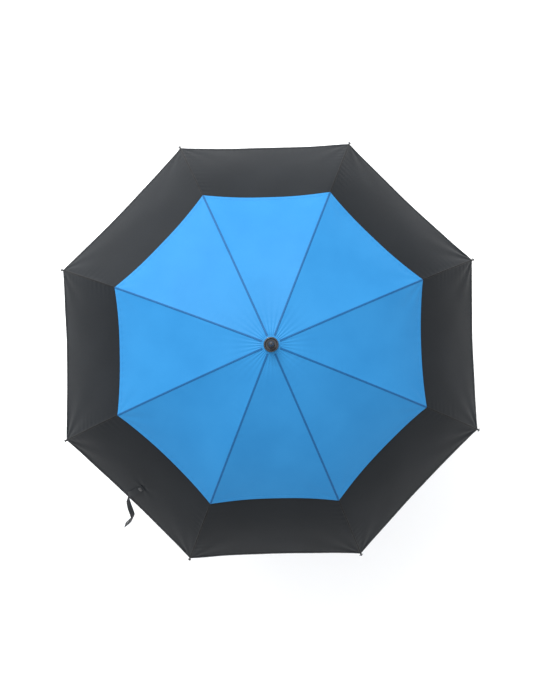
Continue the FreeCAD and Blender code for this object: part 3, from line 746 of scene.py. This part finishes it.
for gore, half, side, number in HALVES:
    points, faces, places = half_gore(UPPER, gore, side, CROWN_CLOTH_START, UPPER["start"])
    collar = new_mesh(f"crown_cloth_{gore}_{half}", points, faces, blue_pongee, places)
    thicken(collar, CLOTH_THICKNESS)
    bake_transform(collar)

    points, faces, places = half_gore(UPPER, gore, side, UPPER["start"], JOINER_LENGTH, JOINER_TUCK)
    inner = new_mesh(f"upper_cloth_{gore}_{half}", points, faces, blue_pongee, places)
    thicken(inner, CLOTH_THICKNESS)
    if side < 0:
        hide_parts(f"upper_panel_{gore}")
    fold_with_rib(inner, number, 0.0, JOINER_LENGTH)
    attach(inner, f"rib_{number}")

    points, faces, places = half_gore(UPPER, gore, side, JOINER_LENGTH)
    outer = new_mesh(f"upper_rim_cloth_{gore}_{half}", points, faces, blue_pongee, places)
    thicken(outer, CLOTH_THICKNESS)
    fold_with_rib(outer, number, JOINER_LENGTH, ROD_LENGTH)
    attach(outer, f"rib_end_{number}")


# Felled seams: along each rib the two gores' edges are rolled together into a
# narrow flat band, sewn down with two rows of stitches.
SEAM_HALF = {"blue": 0.0030, "black": 0.0028}
SEAM_RISE = 0.00045
SEAM_STEP = 0.004
SEAM_SHORT, SEAM_BACK = 0.0005, 0.002
SEAM_THICKNESS = 0.0002


def seam_band(layer, number, start, end, half):
    """A band over a rib seam that follows the gores on both sides of it."""
    after, before = number, (number - 2) % RIB_COUNT + 1
    points, places = [], []
    outline = ((-1.0, 0.0), (-0.86, 0.8), (-0.35, 1.0), (0.35, 1.0), (0.86, 0.8), (1.0, 0.0))
    stations = lengths(start, end, SEAM_STEP)
    for length in stations:
        half_width = half_width_at(length, layer["lift"])
        for across, rise in outline:
            distance = abs(across) * half / half_width
            gore, share = (after, distance - 1.0) if across > 0 else (before, 1.0 - distance)
            points.append(cloth_point(layer, gore, length, share, CLOTH_THICKNESS / 2 + SEAM_RISE * rise))
            places.append((across * half, length))
    return points, sheet_faces(len(outline), len(stations)), places


# the rolled edge holds four layers of cloth, so its colour looks deeper than the gore's
seam_blue = pongee("felled_blue_seam", "104A78", "15507E", "0E4570")
seam_black = pongee("felled_black_seam", "0A0C0F", "0E1013", "080A0C")

BANDS = (
    ("seam_blue_inner", UPPER, UPPER["start"], JOINER_LENGTH, "blue", seam_blue, "rib"),
    ("seam_blue_outer", UPPER, JOINER_LENGTH, UPPER["edge"] - SEAM_SHORT, "blue", seam_blue, "rib_end"),
    ("seam_black", LOWER, LOWER["start"] + SEAM_BACK, LOWER["edge"] - SEAM_SHORT, "black", seam_black,
     "rib_end"),
)
for number in range(1, RIB_COUNT + 1):
    for name, layer, start, end, colour, cloth, body in BANDS:
        points, faces, places = seam_band(layer, number, start, end, SEAM_HALF[colour])
        band = new_mesh(f"{name}_{number}", points, faces, cloth, places)
        thicken(band, SEAM_THICKNESS)
        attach(band, f"{body}_{number}")


# Stitches: fine polyester thread, two rows along each felled seam and one
# round each hem. Real stitches are 2.5 mm long; these are drawn 4.5 mm apart.
STITCH_PITCH = 0.0045
STITCH_LENGTH = 0.0030
THREAD_RADIUS = 0.00022
ROW_INSET = 0.0010
ROW_SHORT, ROW_UNDER = 0.003, 0.02
HEM_ROW_INSET = 0.0085


def stitch_tree():
    """A node tree that lays one short thread after another along every line of a mesh."""
    tree = bpy.data.node_groups.new("stitch_row", "GeometryNodeTree")
    tree.interface.new_socket("Geometry", in_out="OUTPUT", socket_type="NodeSocketGeometry")
    tree.interface.new_socket("Geometry", in_out="INPUT", socket_type="NodeSocketGeometry")
    sizes = {"Pitch": STITCH_PITCH, "Stitch Length": STITCH_LENGTH, "Thread Radius": THREAD_RADIUS}
    for name, value in sizes.items():
        tree.interface.new_socket(name, in_out="INPUT", socket_type="NodeSocketFloat").default_value = value
    tree.interface.new_socket("Thread", in_out="INPUT", socket_type="NodeSocketMaterial")
    entry = add_node(tree, "NodeGroupInput")
    curve = add_node(tree, "GeometryNodeMeshToCurve", {"Mesh": entry.outputs["Geometry"]})
    spaced = add_node(tree, "GeometryNodeResampleCurve",
                      {"Curve": curve, "Length": entry.outputs["Pitch"]}, mode="LENGTH")
    thread = add_node(tree, "GeometryNodeMeshUVSphere", {"Segments": 6, "Rings": 4, "Radius": 0.5})
    tangent = add_node(tree, "GeometryNodeInputTangent")
    turn = add_node(tree, "FunctionNodeAlignRotationToVector", {"Vector": tangent}, axis="X")
    width = add_node(tree, "ShaderNodeMath",
                     {0: entry.outputs["Thread Radius"], 1: 2.0}, operation="MULTIPLY")
    size = add_node(tree, "ShaderNodeCombineXYZ", {
        "X": entry.outputs["Stitch Length"], "Y": width, "Z": width})
    placed = add_node(tree, "GeometryNodeInstanceOnPoints", {
        "Points": spaced, "Instance": thread,
        "Rotation": turn, "Scale": size,
    })
    real = add_node(tree, "GeometryNodeRealizeInstances", {"Geometry": placed})
    done = add_node(tree, "GeometryNodeSetMaterial",
                    {"Geometry": real, "Material": entry.outputs["Thread"]})
    add_node(tree, "NodeGroupOutput", {"Geometry": done})
    return tree


def stitches(name, rows, tree, thread):
    """A plain mesh of stitches along rows of points."""
    points, edges = [], []
    for row in rows:
        edges += [(len(points) + i, len(points) + i + 1) for i in range(len(row) - 1)]
        points += [tuple(point) for point in row]
    lines = bpy.data.meshes.new(name)
    lines.from_pydata(points, edges, [])
    piece = bpy.data.objects.new(name, lines)
    bpy.context.scene.collection.objects.link(piece)
    modifier = piece.modifiers.new("stitches", "NODES")
    modifier.node_group = tree
    sockets = {item.name: item.identifier for item in tree.interface.items_tree if item.in_out == "INPUT"}
    modifier[sockets["Thread"]] = thread
    evaluated = piece.evaluated_get(bpy.context.evaluated_depsgraph_get())
    mesh = bpy.data.meshes.new_from_object(evaluated)
    mesh.name = name
    piece.modifiers.clear()
    piece.data = mesh
    bpy.data.meshes.remove(lines)
    return piece


def sewing_thread(name, hex_colour):
    """Twisted polyester thread: a slight silky gloss, a touch lighter or darker than its cloth."""
    material, tree, shader = new_material(name, hex_colour, 0.5, Sheen_Weight=0.1)
    place = add_node(tree, "ShaderNodeTexCoord")
    twist = add_node(tree, "ShaderNodeTexWave",
                     {"Vector": place.outputs["Object"], "Scale": 900.0, "Distortion": 1.0})
    add_node(tree, "ShaderNodeMapRange", {"Value": twist.outputs["Fac"], "To Min": 0.42, "To Max": 0.6},
             into=shader.inputs["Roughness"])
    return material


blue_thread = sewing_thread("blue_thread", "145E9F")
black_thread = sewing_thread("black_thread", "151618")
stitch_row = stitch_tree()


def beside_seam(layer, number, start, end, half):
    """The two rows of points beside a rib seam, on its band."""
    rows = []
    for gore, side in ((number, -1), ((number - 2) % RIB_COUNT + 1, 1)):
        row = []
        for length in lengths(start, end, SEAM_STEP):
            half_width = half_width_at(length, layer["lift"])
            share = side * (1.0 - (half - ROW_INSET) / half_width)
            row.append(cloth_point(layer, gore, length, share, CLOTH_THICKNESS / 2 + SEAM_RISE))
        rows.append(row)
    return rows


SEWN = (
    ("seam_stitches_inner", UPPER, UPPER["start"], JOINER_LENGTH, "blue", blue_thread, "rib"),
    ("seam_stitches_outer", UPPER, JOINER_LENGTH, UPPER["edge"] - ROW_SHORT, "blue", blue_thread, "rib_end"),
    ("seam_stitches_black", LOWER, UPPER["edge"] - ROW_UNDER, LOWER["edge"] - ROW_SHORT, "black",
     black_thread, "rib_end"),
)
for number in range(1, RIB_COUNT + 1):
    for name, layer, start, end, colour, thread, body in SEWN:
        rows = beside_seam(layer, number, start, end, SEAM_HALF[colour])
        piece = stitches(f"{name}_{number}", rows, stitch_row, thread)
        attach(piece, f"{body}_{number}")

for gore, half, side, number in HALVES:
    for layer, colour, thread in ((UPPER, "blue", blue_thread), (LOWER, "black", black_thread)):
        shares = [side * share for share in lengths(0.0, 0.985, 0.02)]
        row = [cloth_point(layer, gore, rim_length(layer, share) - HEM_ROW_INSET, share,
                           CLOTH_THICKNESS / 2) for share in shares]
        name = f"hem_stitches_{colour}_{gore}_{half}"
        piece = stitches(name, [row], stitch_row, thread)
        fold_with_rib(piece, number, JOINER_LENGTH, ROD_LENGTH)
        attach(piece, f"rib_end_{number}")


# Cap and ferrule: a dished washer that clamps the cloth on the hub, and the
# turned spike that screws down over the shaft's end. Both moulded nylon.
SIDES = 72
ROUND = 0.0006
AXIS_GAP = 0.00005


def lathe(name, profile, material, node):
    """A solid turned about the shaft from (radius, height) points, in place of a CAD node."""
    points, faces = turned(profile, Vector(), (0, 0, 1), SIDES, hollow=True)
    piece = new_mesh(name, points, faces, material)
    piece.data.set_sharp_from_angle(angle=math.radians(35))
    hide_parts(node)
    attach(piece, "shaft")


def rounded(profile, radius=ROUND):
    """An outline with its corners rounded by short arcs."""
    outline = []
    corners = [Vector(corner) for corner in profile]
    for i, corner in enumerate(corners):
        before, after = corners[i - 1] - corner, corners[(i + 1) % len(corners)] - corner
        reach = min(radius, before.length * 0.4, after.length * 0.4)
        start, end = corner + before.normalized() * reach, corner + after.normalized() * reach
        for step in range(5):
            t = step / 4
            outline.append(tuple(start * (1 - t) ** 2 + corner * 2 * t * (1 - t) + end * t ** 2))
    return outline


cap_low, cap_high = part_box("canopy_cap")
spike_low, spike_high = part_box("ferrule_tip")
shaft_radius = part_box("top_stop")[1].x - 0.002
cap_radius, spike_radius = cap_high.x, spike_high.x
cap_profile = [
    (shaft_radius, cap_low.z), (cap_radius - 0.001, cap_low.z), (cap_radius, cap_low.z + 0.001),
    (cap_radius, cap_high.z - 0.0020), (cap_radius - 0.0020, cap_high.z), (cap_radius - 0.0035, cap_high.z),
    (cap_radius - 0.0055, cap_high.z - 0.0020), (spike_radius + 0.0014, cap_high.z - 0.0020),
    (spike_radius + 0.0012, cap_high.z - 0.0024), (shaft_radius, cap_high.z - 0.0024),
]
lathe("canopy_cap_visual", rounded(cap_profile), nylon, "canopy_cap")

shoulder = spike_high.z - 0.047
nose = 0.0045
spike_profile = [
    (shaft_radius, spike_low.z), (spike_radius, spike_low.z), (spike_radius, shoulder - 0.016),
    (spike_radius - 0.0007, shoulder - 0.0155), (spike_radius - 0.0007, shoulder - 0.0140),
    (spike_radius, shoulder - 0.0135), (spike_radius, shoulder), (spike_radius - 0.0014, shoulder + 0.002),
    (nose, spike_high.z - nose),
]
spike_outline = rounded(spike_profile, 0.0004)
for step in range(1, 13):
    angle = math.pi / 2 * step / 12
    height = spike_high.z - nose + nose * math.sin(angle)
    spike_outline.append((max(nose * math.cos(angle), AXIS_GAP), height))
spike_outline.append((AXIS_GAP, spike_low.z + 0.0005))
lathe("ferrule_visual", spike_outline, nylon, "ferrule_tip")


# Handle: a dense foam tube over the nylon core, with shallow finger rings,
# between a moulded end cap and a tapered collar.
RING_COUNT = 9
RING_PITCH = 0.0115
RING_DEPTH = 0.0007
RING_WIDTH = 0.0022
GRIP_ROUND = 0.0015
COLLAR_RIM = 0.004

grip_low, grip_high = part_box("handle_grip")
core_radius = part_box("handle_core")[1].x
grip_radius = grip_high.x
grip_profile = [(core_radius, grip_low.z), (grip_radius - GRIP_ROUND, grip_low.z),
                (grip_radius, grip_low.z + GRIP_ROUND)]
first_ring = (grip_low.z + grip_high.z) / 2 - RING_PITCH * (RING_COUNT - 1) / 2
for number in range(RING_COUNT):
    middle = first_ring + RING_PITCH * number
    for step in range(9):
        share = step / 4 - 1
        depth = RING_DEPTH * (1 + math.cos(math.pi * share)) / 2
        grip_profile.append((grip_radius - depth, middle + share * RING_WIDTH / 2))
grip_profile += [(grip_radius, grip_high.z - GRIP_ROUND), (grip_radius - GRIP_ROUND, grip_high.z),
                 (core_radius, grip_high.z)]

# closed-cell foam with a skin: matt, almost black, pitted by cells about 0.5 mm across
CELL = 0.0005
foam, tree, shader = new_material("closed_cell_foam", "202124", 0.82, Specular_IOR_Level=0.3)
place = add_node(tree, "ShaderNodeTexCoord")
cells = add_node(tree, "ShaderNodeTexVoronoi", {"Vector": place.outputs["Object"], "Scale": 1 / CELL})
grime = add_node(tree, "ShaderNodeTexNoise",
                 {"Vector": place.outputs["Object"], "Scale": 45.0, "Detail": 5.0})
add_node(tree, "ShaderNodeMix", {"Factor": grime, "A": linear("1B1C1E"), "B": linear("2A2B2E")},
         data_type="RGBA", into=shader.inputs["Base Color"])
add_node(tree, "ShaderNodeMapRange",
         {"Value": grime, "To Min": 0.72, "To Max": 0.9}, into=shader.inputs["Roughness"])
add_node(tree, "ShaderNodeBump", {"Height": cells, "Strength": 0.5, "Distance": 0.0001},
         into=shader.inputs["Normal"])

lathe("grip_visual", grip_profile, foam, "handle_grip")

end_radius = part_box("handle_end_cap")[1].x
end_profile = [(AXIS_GAP, 0.0), (end_radius - 0.0025, 0.0), (end_radius, 0.0025), (end_radius, grip_low.z),
               (AXIS_GAP, grip_low.z)]
lathe("end_cap_visual", rounded(end_profile, 0.0012), nylon, "handle_end_cap")

collar_low, collar_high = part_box("handle_collar")
taper_start = collar_low.z + COLLAR_RIM
collar_profile = [(shaft_radius, collar_low.z), (collar_high.x, collar_low.z), (collar_high.x, taper_start)]
for step in range(1, 9):
    t = step / 8
    sweep = (1 - t) ** 2 * collar_high.x + 2 * t * (1 - t) * (shaft_radius + 0.0035)
    sweep += t ** 2 * (shaft_radius + 0.002)
    collar_profile.append((sweep, taper_start + (collar_high.z - taper_start) * t))
collar_profile.append((shaft_radius, collar_high.z))
lathe("collar_visual", collar_profile, nylon, "handle_collar")


# Tie strap: a narrow doubled band of the black cloth, tacked to one gore near
# the rim, loose from the rim on, and turned over by its own stiffness.
STRAP_HALF = 0.0095
STRAP_THICKNESS = 0.0010
STRAP_ABOVE_CLOTH, STRAP_INSET = 0.0016, -0.004
# out from the shaft, round it, above the rim's middle; then the turn of the band, in degrees
STRAP_ROUTE = (
    (TACK_OUT, TACK_LEFT, None, 0.0), (0.568, 0.003, None, 3.0), (0.588, -0.005, None, 8.0),
    (0.600, -0.004, -0.014, 66.0), (0.616, 0.014, -0.040, 80.0), (0.630, 0.036, -0.066, 82.0),
    (0.640, 0.047, -0.086, 74.0), (0.655, 0.046, -0.106, 62.0), (0.676, 0.044, -0.128, 66.0),
)
rim_middle = rib_point(rim_length(LOWER, 0.0), LOWER["lift"])


def strap_place(route_point):
    """A route point in the umbrella's frame; None means lying on the cloth."""
    out, left, up = gore_ways(STRAP_GORE)
    forward, across, height, _ = route_point
    if height is not None:
        return out * forward + left * across + up * (rim_middle[1] + height)
    low, high = LOWER["start"], LOWER["edge"]
    while high - low > 0.0001:
        middle = (low + high) / 2
        if rib_point(middle, LOWER["lift"])[0] * math.cos(HALF_PITCH) < forward:
            low = middle
        else:
            high = middle
    half_width = half_width_at(low, LOWER["lift"])
    return cloth_point(LOWER, STRAP_GORE, low, across / half_width, STRAP_ABOVE_CLOTH)


def through(points, step_count):
    """Points of a smooth curve through points."""
    curve = []
    padded = [points[0] * 2 - points[1]] + points + [points[-1] * 2 - points[-2]]
    for i in range(1, len(padded) - 2):
        a, b, c, d = padded[i - 1:i + 3]
        for step in range(step_count):
            t = step / step_count
            square, cube = a * 2 - b * 5 + c * 4 - d, b * 3 - a - c * 3 + d
            curve.append((b * 2 + (c - a) * t + square * t ** 2 + cube * t ** 3) / 2)
    return curve + [points[-1]]


centre_line = through([strap_place(point) for point in STRAP_ROUTE], 8)
turns = through([Vector((point[3], 0, 0)) for point in STRAP_ROUTE], 8)
_, strap_left, strap_up = gore_ways(STRAP_GORE)


def band_ways(i):
    """The ways along and across the band at a point of its centre line."""
    ahead = (centre_line[min(i + 1, len(centre_line) - 1)] - centre_line[max(i - 1, 0)]).normalized()
    flat = (strap_left - ahead * strap_left.dot(ahead)).normalized()
    return ahead, Matrix.Rotation(math.radians(turns[i].x), 3, ahead) @ flat


points, places = [], []
band = (-1.0, -0.9, -0.5, 0.0, 0.5, 0.9, 1.0)
run = 0.0
for i, centre in enumerate(centre_line):
    wide = band_ways(i)[1]
    run += (centre - centre_line[i - 1]).length if i else 0.0
    for share in band:
        points.append(centre + wide * share * STRAP_HALF)
        places.append((share * STRAP_HALF, run))
strap = new_mesh("tie_strap_visual", points, sheet_faces(len(band), len(centre_line)), black_pongee, places)
thicken(strap, STRAP_THICKNESS)
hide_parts("tie_strap")

# the press stud's cap and socket, domed nylon discs on the band's two ends
STUD_RADIUS = 0.0060
STUD_SPOTS = (3, len(centre_line) - 7)
stud_points, stud_faces = [], []
for spot in STUD_SPOTS:
    ahead, wide = band_ways(spot)
    face_way = ahead.cross(wide)
    if face_way.dot(strap_up) < 0:
        face_way = -face_way
    dome = [(STUD_RADIUS, 0.0), (STUD_RADIUS, 0.0007), (STUD_RADIUS * 0.92, 0.0012),
            (STUD_RADIUS * 0.55, 0.0017), (STUD_RADIUS * 0.30, 0.0018), (0.0001, 0.0016)]
    shape = turned(dome, centre_line[spot] + face_way * STRAP_THICKNESS / 2, face_way, 28)
    stud_points, stud_faces = joined((stud_points, stud_faces), shape)
studs = new_mesh("strap_snap_visual", stud_points, stud_faces, nylon)
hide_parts("strap_snap")

for piece in (strap, studs):
    fold_with_rib(piece, STRAP_GORE + 1, JOINER_LENGTH, ROD_LENGTH)
    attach(piece, f"rib_end_{STRAP_GORE + 1}")
